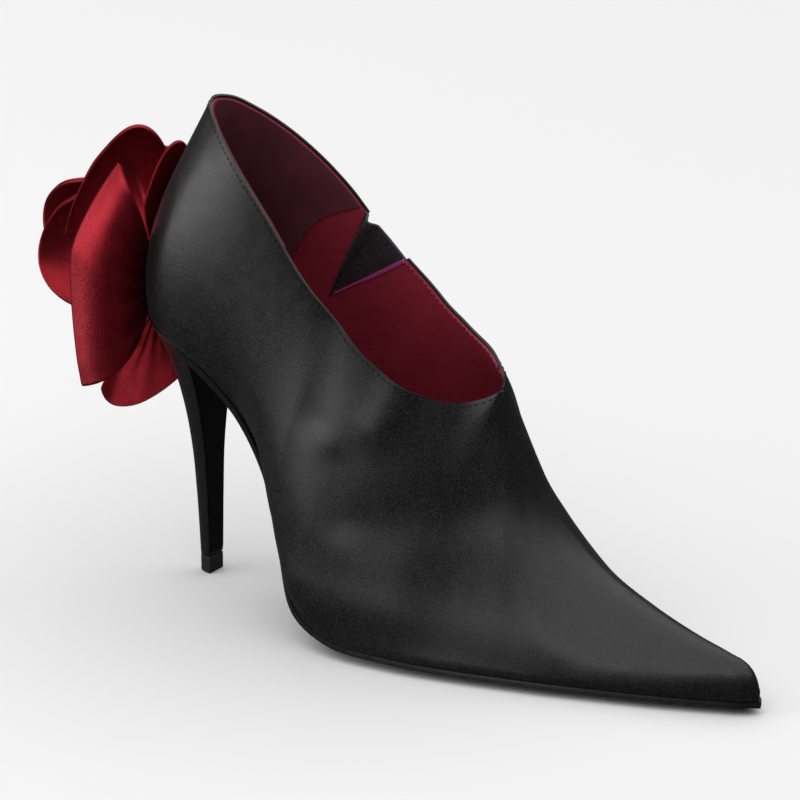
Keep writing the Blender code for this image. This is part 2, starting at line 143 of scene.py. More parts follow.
def patch(steps, point):
    """A grid whose corners run 0 to 1 both ways, moved onto point(across, along)."""
    made = bmesh.new()
    bmesh.ops.create_grid(made, x_segments=steps[0], y_segments=steps[1], size=0.5)
    for vert in made.verts:
        vert.co = point(vert.co.x + 0.5, vert.co.y + 0.5)
    return made


def weld(made):
    """Join the corners that fall together and turn the faces outwards."""
    bmesh.ops.remove_doubles(made, verts=made.verts, dist=WELD)
    bmesh.ops.recalc_face_normals(made, faces=made.faces)


def plate(steps, rows, inset, top, bottom):
    """A plate between both sides of the feather edge, drawn in by inset, from row to row."""
    def flat(across, along):
        u = rows[0] + (rows[1] - rows[0]) * along
        ends = [FEATHER_AT(TOE_ROW + side * u)[:2] - outwards(side * u) * inset
                for side in (-1, 1)]
        return (*(ends[0] + (ends[1] - ends[0]) * across), 2 * across - 1)

    made = patch(steps, flat)
    pushed = bmesh.ops.extrude_face_region(made, geom=made.faces[:])
    under = {item for item in pushed["geom"] if isinstance(item, bmesh.types.BMVert)}
    for vert in made.verts:
        x, y, side = vert.co
        vert.co.z = bottom(x, y, side) if vert in under else top(x, y, side)
    weld(made)
    return made


def place(name, made, finish):
    """Turn a bmesh in millimetres into a piece at the origin, in metres."""
    bmesh.ops.scale(made, vec=(MM, MM, MM), verts=made.verts)
    mesh = bpy.data.meshes.new(name)
    made.to_mesh(mesh)
    made.free()
    mesh.shade_smooth()
    mesh.materials.append(finish)
    piece = bpy.data.objects.new(name, mesh)
    bpy.context.scene.collection.objects.link(piece)
    return piece


def soften(piece, width, angle=SHARP, segments=3):
    """Round the edges of a piece where its faces turn by more than angle."""
    rounded = piece.modifiers.new("rounded edges", "BEVEL")
    rounded.width = width * MM
    rounded.segments = segments
    rounded.limit_method = "ANGLE"
    rounded.angle_limit = math.radians(angle)
    rounded.harden_normals = True


def linear(code):
    """An sRGB hex colour as linear red, green, blue and alpha."""
    parts = [int(code[i:i + 2], 16) / 255 for i in (1, 3, 5)]
    return (*[c / 12.92 if c <= 0.04045 else ((c + 0.055) / 1.055) ** 2.4 for c in parts], 1.0)


def node(finish, kind, inputs=None, **settings):
    """Add a node to a finish, or take its node of that name, and set or link the node's inputs."""
    tree = finish.node_tree
    added = tree.nodes.get(kind) or tree.nodes.new(kind)
    for name, value in settings.items():
        setattr(added, name, value)
    for name, value in (inputs or {}).items():
        if isinstance(value, bpy.types.NodeSocket):
            tree.links.new(value, added.inputs[name])
        else:
            added.inputs[name].default_value = value
    return added


def new_finish(name, inputs):
    """A material, its shader set to the values that are the same all over it."""
    finish = bpy.data.materials.new(name)
    finish.use_nodes = True
    node(finish, SHADER, inputs)
    return finish


# A Mix node's colour sockets go by number, because its other kinds have the same names.
MIX_SHARE, MIX_A, MIX_B, MIX_RESULT = 0, 6, 7, 2


def pattern(finish, shade, dark, light, relief=None, strength=1.0, depth=1.0):
    """Let one pattern mix a finish's two colours, and another raise its surface by depth."""
    colour = node(finish, "ShaderNodeMix", {
        MIX_SHARE: shade, MIX_A: linear(dark), MIX_B: linear(light)}, data_type="RGBA")
    node(finish, SHADER, {"Base Color": colour.outputs[MIX_RESULT]})
    if relief is not None:
        bump = node(finish, "ShaderNodeBump", {
            "Height": relief, "Strength": strength, "Distance": depth * MM})
        node(finish, SHADER, {"Normal": bump.outputs["Normal"]})


# Calf leather: half matt, with fine pores and a slow drift of colour.
CALF_PORE = 0.7
CALF_PORE_DEPTH = 0.05
CALF_DRIFT = 24.0
calf = new_finish("burgundy calf leather", {"Roughness": 0.5, "Specular IOR Level": 0.35})
calf_place = node(calf, "ShaderNodeTexCoord").outputs["Object"]
calf_pores = node(calf, "ShaderNodeTexVoronoi", {"Vector": calf_place, "Scale": 1 / (CALF_PORE * MM)})
calf_drift = node(calf, "ShaderNodeTexNoise",
                  {"Vector": calf_place, "Scale": 1 / (CALF_DRIFT * MM), "Detail": 3.0})
pattern(calf, calf_drift.outputs["Fac"], "#762030", "#942f40",
        relief=calf_pores.outputs["Distance"], strength=0.25, depth=CALF_PORE_DEPTH)

sock = place("sock", plate(INSOLE_STEPS, (0.0, INSOLE_TOE_ROW), INSOLE_INSET,
                           lambda x, y, side: off_bed(x, y, INSOLE_THICKNESS),
                           lambda x, y, side: bed(x, y)), calf)
soften(sock, INSOLE_ROUNDING)
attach(sock, "root")
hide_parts("insole")

# Upper
# One piece of black satin on a stiff backer, drawn over the last and cut in a deep collar.
# It is folded in at the collar and the notch, and turned under the insole at its foot.
SATIN_WALL = 0.85
THROAT_ROW = 11
# From this row to the throat a rib's upper handle turns square to the shoe's length, and its
# lower one leans in less: shares of the way across, at the heel and at the throat.
WRAP_ROW = 7
RIB_LEAN = (0.12, 0.04)
# The lowest strip stands upright, this high, and hangs this far below the feather edge.
UPPER_FOOT = 1.4
FOOT_DROP = 0.3
TOE_TIP = Vector((209.8, 3.6, 13.5))
TIP_REACH = 6.0
TIP_WELD = 0.7
TIP_PASSES = 4
TIP_SMOOTHING = 0.5
UPPER_ROUNDING = 0.3
UPPER_STEPS = (380, 60)
# x, reach on the outer and inner side, height on the outer and inner side, drop, spread
TOP = (
    (4.0, 0.0, 0.0, 170.5, 170.5, 0.33, 0.5),
    (6.6, 6.6, 6.6, 169.4, 169.2, 0.33, 0.5),
    (12.4, 11.8, 11.8, 165.8, 165.2, 0.33, 0.5),
    (20.5, 16.8, 16.8, 160.0, 159.0, 0.33, 0.5),
    (30.5, 21.0, 21.0, 151.6, 150.4, 0.33, 0.5),
    (42.0, 23.6, 23.2, 140.4, 140.0, 0.33, 0.5),
    (54.0, 24.4, 23.6, 125.6, 128.0, 0.33, 0.5),
    (67.0, 24.0, 22.6, 112.4, 118.6, 0.3, 0.5),
    (81.0, 22.6, 20.4, 99.8, 110.0, 0.26, 0.46),
    (95.0, 17.9, 16.2, 90.8, 102.8, 0.24, 0.40),
    (107.0, 10.0, 11.6, 87.3, 97.9, 0.20, 0.32),
    (116.0, -2.5, 2.5, 91.0, 91.0, 0.0, 0.26),
    (120.6, -4.0, 4.0, 74.3, 74.3, 0.0, 0.34),
    (129.0, -7.0, 7.0, 54.2, 54.2, 0.0, 0.42),
    (145.0, -8.5, 8.5, 36.4, 36.4, 0.0, 0.47),
    (167.5, -5.6, 5.6, 26.6, 26.6, 0.0, 0.50),
    (187.5, -4.3, 4.3, 20.6, 20.6, 0.0, 0.50),
    (200.0, -3.9, 3.9, 17.7, 17.7, 0.0, 0.50),
    (207.4, -3.7, 3.7, 15.4, 15.4, 0.0, 0.50),
    (210.8, -3.6, 3.6, 11.2, 11.2, 0.0, 0.50),
)
COLLAR_AT = curve([(x, -out, out_z, drop, spread)
                   for x, out, inn, out_z, inn_z, drop, spread in TOP[THROAT_ROW::-1]]
                  + [(x, inn, inn_z, drop, spread)
                     for x, out, inn, out_z, inn_z, drop, spread in TOP[1:THROAT_ROW]], True)
RIDGE_AT = curve([(x, inn, inn_z, drop, spread)
                  for x, out, inn, out_z, inn_z, drop, spread in TOP[THROAT_ROW:]], False)
# Soft ridges where plus and troughs where minus: places along the crease, as row and share of
# the height, then its width and height
UPPER_CREASES = (
    ((-7.0, 0.98), (-7.5, 0.70), 7.0, -1.0),
    ((-8.75, 0.99), (-8.6, 0.80), 6.5, 1.0),
    ((-8.1, 0.62), (-8.6, 0.48), 7.0, -0.9),
    ((-9.3, 0.47), (-10.2, 0.48), (-11.7, 0.54), 10.0, -0.8),
    ((-8.0, 0.13), (-10.0, 0.14), (-12.5, 0.15), (-14.5, 0.21), (-16.5, 0.31), (-18.0, 0.38), 8.0, 0.7),
    ((-6.2, 0.22), (-7.6, 0.26), 9.0, -0.8),
    ((-4.6, 0.10), (-5.6, 0.26), 3.5, -0.4),
    ((-5.2, 0.06), (-6.2, 0.20), 3.5, 0.35),
    ((8.2, 0.98), (7.6, 0.62), 7.0, -0.8),
    ((9.6, 0.48), (11.7, 0.54), 10.0, -0.8),
    ((9.8, 0.20), (12.4, 0.28), 10.0, 0.8),
    ((4.6, 0.10), (5.6, 0.26), 3.5, -0.4),
)
# The notch on the inner side, seen from the side: apex, back corner, front corner; x, height.
# The box holds all of it and nothing of the outer side.
NOTCH = ((34.0, 100.0), (54.4, 142.2), (77.0, 126.0))
NOTCH_BOX = ((26.0, 4.0, 98.5), (90.0, 60.0, 150.0))


def smooth(start, end, value):
    """0 before start, 1 after end, an easy curve between."""
    f = min(max((value - start) / (end - start), 0.0), 1.0)
    return f * f * (3 - 2 * f)


@lru_cache(maxsize=None)
def rib(u):
    """Handles of the upper's rib at row u; minus is the outer side, plus the inner."""
    row = abs(u)
    base = FEATHER_AT(TOE_ROW + u)
    out = np.append(outwards(u), 0.0)
    top = COLLAR_AT(THROAT_ROW + u) if row <= THROAT_ROW else RIDGE_AT(row - THROAT_ROW)
    belly, rise = base[3:]
    drop, spread = top[3:]
    base = base[:3]
    top = top[:3]
    wrap = smooth(WRAP_ROW, THROAT_ROW, row)
    lean = RIB_LEAN[0] + (RIB_LEAN[1] - RIB_LEAN[0]) * wrap
    across = (top - base) * (1.0, 1.0, 0.0)
    square = across * (1.0 - wrap, 1.0, 0.0)
    up = (top - base) * (0.0, 0.0, 1.0)
    return base, base + across * lean + up * rise + out * belly, top - square * spread - up * drop, top


def upper_point(u, w):
    """Point on the outside of the upper: row u, share w of the way from sole to top."""
    base, lower, upper, top = rib(u)
    v = 1 - w
    spot = base * v ** 3 + lower * (3 * v * v * w) + upper * (3 * v * w * w) + top * w ** 3
    return spot + np.array((0.0, 0.0, UPPER_FOOT)) * v


def creased(made, lines):
    """Push soft ridges into a sheet, or troughs where the height is minus, along paths."""
    spots = np.array([vert.co for vert in made.verts])
    push = np.zeros(len(spots))
    for path, width, height in lines:
        away = np.inf
        for start, end in zip(path, path[1:]):
            line = np.array(end) - start
            share = np.clip((spots - start) @ line / (line @ line), 0.0, 1.0)
            away = np.minimum(away, np.linalg.norm(spots - start - share[:, None] * line, axis=1))
        push += height * np.exp(-(away / width) ** 2)
    for vert, move in zip(made.verts, push):
        vert.co += vert.normal * move
    made.normal_update()


def ease_toe(made):
    """Round the pinched point where both sides of the upper meet above the toe."""
    def tip():
        return [vert for vert in made.verts if (vert.co - TOE_TIP).length < TIP_REACH]

    for _ in range(TIP_PASSES):
        bmesh.ops.remove_doubles(made, verts=tip(), dist=TIP_WELD)
        bmesh.ops.smooth_vert(made, verts=tip(), factor=TIP_SMOOTHING,
                              use_axis_x=True, use_axis_y=True, use_axis_z=True)
    bmesh.ops.recalc_face_normals(made, faces=made.faces)


def upper_sheet(steps, sink, rows=lambda w: TOE_ROW):
    """The upper as a surface drawn in by sink, as far as rows(w) to either side of the back."""
    def stand(across, along):
        step = round(along * steps[1])
        w = max(step - 1, 0) / (steps[1] - 1)
        foot = UPPER_FOOT + FOOT_DROP if step == 0 else 0.0
        return upper_point((2 * across - 1) * rows(w), w) - np.array((0.0, 0.0, foot))

    made = patch(steps, stand)
    weld(made)
    ease_toe(made)
    made.normal_update()
    back = min(made.faces, key=lambda face: face.calc_center_median().x)
    if back.normal.x > 0:
        bmesh.ops.reverse_faces(made, faces=made.faces)
        made.normal_update()
    creased(made, [([upper_point(*spot) for spot in path], width, height)
                   for *path, width, height in UPPER_CREASES])
    for vert in made.verts:
        vert.co -= vert.normal * sink
    made.normal_update()
    return made


def notch_sides(room):
    """Both edges of the notch, moved out by room: a place on each and its inward direction."""
    apex, back, front = [np.array(corner) for corner in NOTCH]
    sides = []
    for corner, other in ((back, front), (front, back)):
        line = (corner - apex) / np.linalg.norm(corner - apex)
        inward = np.array((-line[1], line[0]))
        if inward @ (other - apex) < 0:
            inward = -inward
        spot = apex - inward * room
        sides.append((Vector((spot[0], 0.0, spot[1])), Vector((inward[0], 0.0, inward[1]))))
    return sides


def cut_notch(made, room):
    """Cut the notch out of a sheet, wider by room on both edges."""
    sides = notch_sides(room)
    low, high = [Vector(corner) for corner in NOTCH_BOX]

    def near(spot):
        return all(low[i] < spot[i] < high[i] for i in range(3))

    for spot, inward in sides:
        faces = [face for face in made.faces if near(face.calc_center_median())]
        edges = {edge for face in faces for edge in face.edges}
        verts = {vert for face in faces for vert in face.verts}
        bmesh.ops.bisect_plane(made, geom=[*verts, *edges, *faces], dist=WELD,
                               plane_co=spot, plane_no=inward)
    gone = [face for face in made.faces if near(face.calc_center_median())
            and all((face.calc_center_median() - spot) @ inward > 0 for spot, inward in sides)]
    bmesh.ops.delete(made, geom=gone, context="FACES")


def thicken(piece, thickness, offset=-1.0):
    """Give a sheet its real thickness: inwards, both ways at offset 0, or outwards at 1."""
    wall = piece.modifiers.new("wall", "SOLIDIFY")
    wall.thickness = thickness * MM
    wall.offset = offset


# Black satin: long floats of thread lie side by side, so it is smooth with a wide soft gloss.
# The threads are too fine to show, so their sparkle is drawn coarser, as a grain of 0.4 mm: a fine
# bump, and in the colour a speckle of painted glints.
GRAIN = 0.4
GRAIN_DEPTH = 0.1
GLINT_SPECKLE = (0.45, 0.65)
SLUB = 6.0
SLUB_RANGE = (0.3, 0.7)
SLUB_SWING = 0.04
SHEEN = (0.03, 0.4)


def satin(name, dark, light, roughness, tint, ior, gloss, sparkle):
    """Satin in one colour: a grain as bump and as a speckle of painted glints in the colour, a gloss
    that drifts, a sheen at the edges.
    """
    finish = new_finish(name, {
        "IOR": ior, "Specular IOR Level": gloss, "Specular Tint": linear(tint),
        "Sheen Weight": SHEEN[0], "Sheen Roughness": SHEEN[1], "Sheen Tint": linear(tint)})
    where = node(finish, "ShaderNodeTexCoord").outputs["Object"]
    grain = node(finish, "ShaderNodeTexNoise",
                 {"Vector": where, "Scale": 1 / (GRAIN * MM), "Detail": 2.0, "Roughness": 0.7})
    slub = node(finish, "ShaderNodeTexNoise",
                {"Vector": where, "Scale": 1 / (SLUB * MM), "Detail": 3.0})
    # The grain's speckle in the base colour is painted glints, standing in for the threads' sparkle.
    glint_speckle = node(finish, "ShaderNodeMapRange", {
        "Value": grain.outputs["Fac"], "From Min": GLINT_SPECKLE[0], "From Max": GLINT_SPECKLE[1]})
    rough = node(finish, "ShaderNodeMapRange", {
        "Value": slub.outputs["Fac"], "From Min": SLUB_RANGE[0], "From Max": SLUB_RANGE[1],
        "To Min": roughness - SLUB_SWING, "To Max": roughness + SLUB_SWING})
    node(finish, SHADER, {"Roughness": rough.outputs["Result"]})
    pattern(finish, glint_speckle.outputs["Result"], dark, light,
            relief=grain.outputs["Fac"], strength=sparkle, depth=GRAIN_DEPTH)
    return finish


black_satin = satin("black satin", dark="#010101", light="#242428", roughness=0.35,
                    tint="#ffffff", ior=1.5, gloss=0.5, sparkle=0.4)
outside = upper_sheet(UPPER_STEPS, 0.0)
OUTSIDE = BVHTree.FromBMesh(outside)
cut_notch(outside, 0.0)
satin_upper = place("satin_upper", outside, black_satin)
thicken(satin_upper, SATIN_WALL)
soften(satin_upper, UPPER_ROUNDING)
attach(satin_upper, "root")
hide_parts("upper")

# Lining
# Thin burgundy kid glued inside the satin from toe to heel, after it was stretched over the
# last. It is cut off just below the folded collar and beside the notch.
GLUE = 0.1
LINING_SINK = SATIN_WALL + GLUE
LINING_WALL = WALL - LINING_SINK
LINING_TOE_ROW = 17.5
LINING_STEPS = (350, 60)
LINING_MARGIN = 0.8
NOTCH_MARGIN = 0.3
THROAT_CUT = 4.5
LINING_ROUNDING = 0.2
# Kid leather: smooth and half glossy, with fine streaks of colour along its stretch.
KID_STREAK = (14.0, 1.1, 1.1)
KID_STREAK_DEPTH = 0.08
KID_STRETCH_ANGLE = 50.0
kid = new_finish("burgundy kid leather", {"Roughness": 0.42, "Specular IOR Level": 0.4})
kid_place = node(kid, "ShaderNodeTexCoord").outputs["Object"]
kid_stretch = node(kid, "ShaderNodeMapping", {
    "Vector": kid_place, "Rotation": (0.0, math.radians(KID_STRETCH_ANGLE), 0.0),
    "Scale": [1 / (size * MM) for size in KID_STREAK]})
kid_streaks = node(kid, "ShaderNodeTexNoise", {
    "Vector": kid_stretch.outputs["Vector"], "Scale": 1.0, "Detail": 4.0, "Roughness": 0.6})
pattern(kid, kid_streaks.outputs["Fac"], "#7c2030", "#a33344",
        relief=kid_streaks.outputs["Fac"], strength=0.3, depth=KID_STREAK_DEPTH)


def trim_edge(made, margin):
    """Draw a sheet's free edges in by margin, along the sheet."""
    moves = {}
    for vert in made.verts:
        if vert.is_boundary:
            edges = [edge for edge in vert.link_edges if edge.is_boundary]
            ahead = edges[0].other_vert(vert).co - edges[-1].other_vert(vert).co
            side = vert.normal.cross(ahead).normalized()
            middle = sum((face.calc_center_median() - vert.co for face in vert.link_faces), Vector())
            moves[vert] = side * margin * (1.0 if side @ middle > 0 else -1.0)
    for vert, move in moves.items():
        vert.co += move


inside = upper_sheet(LINING_STEPS, LINING_SINK, rows=lambda w: LINING_TOE_ROW)
INSIDE = BVHTree.FromBMesh(inside)
trim_edge(inside, LINING_MARGIN)
cut_notch(inside, NOTCH_MARGIN)
throat = Vector(COLLAR_AT(0)[:3])
bmesh.ops.delete(inside, context="FACES", geom=[
    face for face in inside.faces if (face.calc_center_median() - throat).length < THROAT_CUT])
lining = place("lining", inside, kid)
thicken(lining, LINING_WALL)
soften(lining, LINING_ROUNDING, segments=2)
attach(lining, "root")

# Heel grip
# A pocket of burgundy suede glued over the lining round the heel, so the foot doesn't slip.
# Its front edge sweeps down from the collar on both sides.
GRIP_SINK = WALL + GLUE / 2
GRIP_WALL = 0.5
GRIP_STEPS = (140, 60)
# share of the height, row of the front edge
GRIP_EDGE = ((0.0, 3.9), (0.48, 4.2), (0.67, 4.46), (0.77, 4.72), (0.84, 4.97), (1.0, 5.55))
GRIP_ROUNDING = 0.15
# Suede: a short raised nap, so it is matt with a pale bloom, and patchy where it was brushed.
SUEDE_NAP = 0.5
SUEDE_NAP_DEPTH = 0.12
SUEDE_BRUSH = 12.0
suede = new_finish("burgundy suede", {
    "Roughness": 0.85, "Specular IOR Level": 0.2,
    "Sheen Weight": 0.35, "Sheen Roughness": 0.5, "Sheen Tint": linear("#a04a58")})
suede_place = node(suede, "ShaderNodeTexCoord").outputs["Object"]
suede_nap = node(suede, "ShaderNodeTexNoise", {
    "Vector": suede_place, "Scale": 1 / (SUEDE_NAP * MM), "Detail": 4.0, "Roughness": 0.7})
suede_brush = node(suede, "ShaderNodeTexNoise", {
    "Vector": suede_place, "Scale": 1 / (SUEDE_BRUSH * MM), "Detail": 3.0})
pattern(suede, suede_brush.outputs["Fac"], "#48212a", "#6a3440",
        relief=suede_nap.outputs["Fac"], strength=0.6, depth=SUEDE_NAP_DEPTH)
grip_share, grip_row = np.array(GRIP_EDGE).T
grip_sheet = upper_sheet(GRIP_STEPS, GRIP_SINK,
                         rows=lambda w: float(np.interp(w, grip_share, grip_row)))
trim_edge(grip_sheet, LINING_MARGIN)
heel_grip = place("heel_grip", grip_sheet, suede)
thicken(heel_grip, GRIP_WALL)
soften(heel_grip, GRIP_ROUNDING, segments=2)
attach(heel_grip, "root")

# Gusset
# A wedge of black elastic sewn behind both edges of the notch, so that the collar can stretch.
# It is pleated inwards beside the back edge and lies flat at the front one.
GUSSET_THICKNESS = 0.8
GUSSET_SINK = 0.9
GUSSET_STEPS = (60, 60)
# How far up the notch's back and front edges the elastic reaches, how far it is tucked behind
# them, and the y near which its wall is looked for
GUSSET_REACH = (0.755, 0.73)
GUSSET_TUCK = 1.2
GUSSET_Y = 26.0
# The pleat's depth, and the shares across the elastic between which it lies
PLEAT_DEPTH = 3.4
PLEAT = (0.03, 0.32)
# Satin-faced elastic: the rubber threads draw the satin up, so it is a little greyer, duller and
# grainier.
# Its colours are lifted well above that as painted light, to make up for the shade it stands in inside
# the notch.
elastic = satin("satin-faced elastic", dark="#161617", light="#4c4c52", roughness=0.45,
                tint="#ffffff", ior=1.5, gloss=0.5, sparkle=0.7)


def gusset_point(across, along):
    """Point on the elastic: across from the notch's back edge to its front one, along from its apex."""
    apex, back, front = [np.array(corner) for corner in NOTCH]
    top = (back - apex) * GUSSET_REACH[0] * (1 - across) + (front - apex) * GUSSET_REACH[1] * across
    from_back, from_front = [inward for _, inward in notch_sides(0.0)]
    tuck = from_back * (1 - across) + from_front * across
    x, z = apex + top * along - np.array((tuck.x, tuck.z)) * GUSSET_TUCK
    pleat = math.sin(math.pi * min(max((across - PLEAT[0]) / (PLEAT[1] - PLEAT[0]), 0.0), 1.0)) ** 2
    spot = OUTSIDE.find_nearest(Vector((x, GUSSET_Y, z)))[0]
    return spot - Vector((0.0, GUSSET_SINK + PLEAT_DEPTH * pleat * along, 0.0))


gusset_sheet = patch(GUSSET_STEPS, gusset_point)
weld(gusset_sheet)
gusset = place("elastic_gusset", gusset_sheet, elastic)
thicken(gusset, GUSSET_THICKNESS, 0.0)
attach(gusset, "root")
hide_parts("gusset")

# Notch tape
# A narrow magenta ribbon sewn inside the front edge of the notch, over the lining's cut edge.
# It shows as one bright line and keeps the corner from stretching.
TAPE_WIDTH = 1.0
TAPE_WALL = 0.3
TAPE_RUN = (0.05, 0.72)
# The ribbon is narrow beside the apex and widens between these shares of the notch's edge.
TAPE_WIDENS = (0.22, 0.42)
TAPE_NARROW = 0.3
TAPE_STEPS = (4, 60)
# Share of the ribbon's steps that turn in at the notch's edge
TAPE_TURN = 0.25
RAY_START = 80.0
# Grosgrain: fine ribs across the ribbon, drawn in colour only, each with a painted highlight on its
# crown and painted shade in its groove.
# A Wave texture repeats about three times in its length, so the ribs are 1.3 mm apart.
RIBBON_WAVE = 4.0
ribbon = new_finish("magenta grosgrain ribbon", {"Roughness": 0.45, "Specular IOR Level": 0.5})
ribbon_place = node(ribbon, "ShaderNodeTexCoord").outputs["Object"]
ribbon_rib_shading = node(ribbon, "ShaderNodeTexWave", {
    "Vector": ribbon_place, "Scale": 1 / (RIBBON_WAVE * MM)}, bands_direction="X")
# Each rib's lighter crown and darker groove are painted highlight and painted shade.
pattern(ribbon, ribbon_rib_shading.outputs["Fac"], "#8a2c66", "#b04c88")


def on_wall(x, z):
    """Place and normal on the upper's inner side, outside, at a place seen from the side."""
    return OUTSIDE.ray_cast(Vector((x, RAY_START, z)), Vector((0.0, -1.0, 0.0)))[:2]


def tape_point(across, along):
    """Point on the ribbon: across from behind the elastic to the lining, along from the apex up."""
    apex, front = [np.array(NOTCH[k]) for k in (0, 2)]
    share = TAPE_RUN[0] + (TAPE_RUN[1] - TAPE_RUN[0]) * along
    flat = max(across - TAPE_TURN, 0.0) / (1 - TAPE_TURN)
    width = TAPE_WIDTH * (TAPE_NARROW + (1 - TAPE_NARROW) * smooth(*TAPE_WIDENS, share))
    edge = notch_sides(width * flat - TAPE_WALL * (flat == 0.0))[1][0]
    x, z = np.array((edge.x, edge.z)) + (front - apex) * share
    spot, normal = on_wall(x, z)
    behind = GUSSET_SINK + GUSSET_THICKNESS / 2
    deep = min(across / TAPE_TURN, 1.0) * (WALL + TAPE_WALL / 2 - behind)
    return spot - normal * (behind + deep)


tape_sheet = patch(TAPE_STEPS, tape_point)
weld(tape_sheet)
notch_tape = place("notch_tape", tape_sheet, ribbon)
thicken(notch_tape, TAPE_WALL, 0.0)
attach(notch_tape, "root")

# Stitches
# Black thread round the collar and both edges of the notch, just below the folded edge, and
# the same seam in a lighter red inside. Each stitch is a short bead of thread.
STITCH_LENGTH = 1.7
STITCH_PITCH = 2.3
THREAD_RADIUS = 0.2
THREAD_LIFT = 0.05
EDGE_MARGIN = 1.3
STITCH_FACES = (6, 5)
COLLAR_POINTS = 900
ABOVE_COLLAR = Vector((60.0, 0.0, 220.0))
# Row where the seam inside ends beside the throat
INNER_SEAM_END = 10.5
# Rows of the collar where the notch starts and ends, then the share of its edges that is sewn
NOTCH_ROWS = (5.62, 6.92)
NOTCH_SEAM = (0.03, 0.72)
NOTCH_POINTS = 80
NOTCH_MIDDLE = Vector((53.0, 28.0, 122.0))


def stitch_row(made, path, surface, lift, opening):
    """Stitches along an edge, on a surface, a margin further from a place in the opening."""
    spots = []
    for k, spot in enumerate(path):
        ahead = path[min(k + 1, len(path) - 1)] - path[max(k - 1, 0)]
        spot, normal = surface.find_nearest(spot)[:2]
        side = normal.cross(ahead).normalized()
        if side @ (opening - spot) > 0:
            side = -side
        spot, normal = surface.find_nearest(spot + side * EDGE_MARGIN)[:2]
        spots.append((spot + normal * lift, ahead.normalized()))
    steps = [(after[0] - before[0]).length for before, after in zip(spots, spots[1:])]
    run = np.concatenate(([0.0], np.cumsum(steps)))
    for k in range(int(run[-1] / STITCH_PITCH)):
        spot, ahead = spots[int(np.searchsorted(run, (k + 0.5) * STITCH_PITCH))]
        bead = bmesh.ops.create_uvsphere(made, u_segments=STITCH_FACES[0], v_segments=STITCH_FACES[1],
                                         radius=1.0)["verts"]
        bmesh.ops.scale(made, vec=(STITCH_LENGTH / 2, THREAD_RADIUS, THREAD_RADIUS), verts=bead)
        turn = ahead.to_track_quat("X", "Z").to_matrix()
        bmesh.ops.rotate(made, cent=(0.0, 0.0, 0.0), matrix=turn, verts=bead)
        bmesh.ops.translate(made, vec=spot, verts=bead)


def collar_path(start, end):
    """Places along the collar's edge from row to row."""
    rows = np.linspace(start, end, COLLAR_POINTS)
    return [Vector(COLLAR_AT(THROAT_ROW + u)[:3]) for u in rows]


# Black thread: dyed cotton without the satin's gloss, so the seam shows as fine dark dashes.
thread = new_finish("black thread", {
    "Base Color": linear("#101011"), "Roughness": 0.55, "Specular IOR Level": 0.3})
beads = bmesh.new()
for ends in ((NOTCH_ROWS[1], THROAT_ROW), (-THROAT_ROW, NOTCH_ROWS[0])):
    stitch_row(beads, collar_path(*ends), OUTSIDE, THREAD_LIFT, ABOVE_COLLAR)
for corner in NOTCH[1:]:
    line = np.array(corner) - NOTCH[0]
    seam = [on_wall(*(NOTCH[0] + line * share))[0] for share in np.linspace(*NOTCH_SEAM, NOTCH_POINTS)]
    stitch_row(beads, seam, OUTSIDE, THREAD_LIFT, NOTCH_MIDDLE)
stitches = place("stitches", beads, thread)
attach(stitches, "root")

# Raspberry thread: a shade pinker than the kid, so the inner seam shows as a fine dotted line.
red_thread = new_finish("raspberry thread", {"Base Color": linear("#a03a62"), "Roughness": 0.5})
red_beads = bmesh.new()
for ends in ((NOTCH_ROWS[1], INNER_SEAM_END), (-INNER_SEAM_END, NOTCH_ROWS[0])):
    stitch_row(red_beads, collar_path(*ends), INSIDE, -LINING_WALL - THREAD_LIFT, ABOVE_COLLAR)
lining_stitches = place("lining_stitches", red_beads, red_thread)
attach(lining_stitches, "root")

# Outsole
# Thin black leather from the heel's breast to the toe, its edge trimmed, inked and polished.
# It is thickest under the ball, where it treads flat on the floor.
SOLE_EDGE = 1.8
WAIST_CROWN = 0.8
TREAD_CROWN = 2.6
SOLE_OVERHANG = 0.9
SOLE_DROP = GAP + GLUE
SOLE_STEPS = (28, 220)
TREAD_START = (50.0, 84.0)
TREAD_FADE = 100.0
SOLE_ROWS = (3.16, TOE_ROW)
SOLE_TIP = FEATHER[TOE_ROW][0] - GAP
SOLE_ROUNDING = 0.8
# Sole leather: inked black and waxed, so its edge draws one bright line, dulled here and there.
SOLE_SCUFF = 3.0
SOLE_ROUGHNESS = (0.18, 0.4)
sole_leather = new_finish("polished black sole leather", {
    "Specular IOR Level": 0.5, "Coat Weight": 0.6, "Coat Roughness": 0.2, "Coat IOR": 1.6})
sole_place = node(sole_leather, "ShaderNodeTexCoord").outputs["Object"]
sole_scuff = node(sole_leather, "ShaderNodeTexNoise", {
    "Vector": sole_place, "Scale": 1 / (SOLE_SCUFF * MM), "Detail": 5.0, "Roughness": 0.65})
sole_rough = node(sole_leather, "ShaderNodeMapRange", {
    "Value": sole_scuff.outputs["Fac"], "To Min": SOLE_ROUGHNESS[0], "To Max": SOLE_ROUGHNESS[1]})
node(sole_leather, SHADER, {"Roughness": sole_rough.outputs["Result"]})
pattern(sole_leather, sole_scuff.outputs["Fac"], "#060606", "#121213")


def sole_bottom(x, y, side):
    """Height of the sole's underside, crowned between its edges and never below the floor."""
    tread = smooth(*TREAD_START, x) * smooth(0.0, TREAD_FADE, SOLE_TIP - x)
    crown = (WAIST_CROWN + TREAD_CROWN * tread) * (1 - side * side)
    return max(off_bed(x, y, -SOLE_DROP - SOLE_EDGE - crown), 0.0)


leather_sole = place("leather_sole", plate(SOLE_STEPS, SOLE_ROWS, -SOLE_OVERHANG,
                                           lambda x, y, side: off_bed(x, y, -SOLE_DROP), sole_bottom),
                     sole_leather)
soften(leather_sole, SOLE_ROUNDING, angle=40, segments=5)
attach(leather_sole, "root")
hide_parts("outsole")

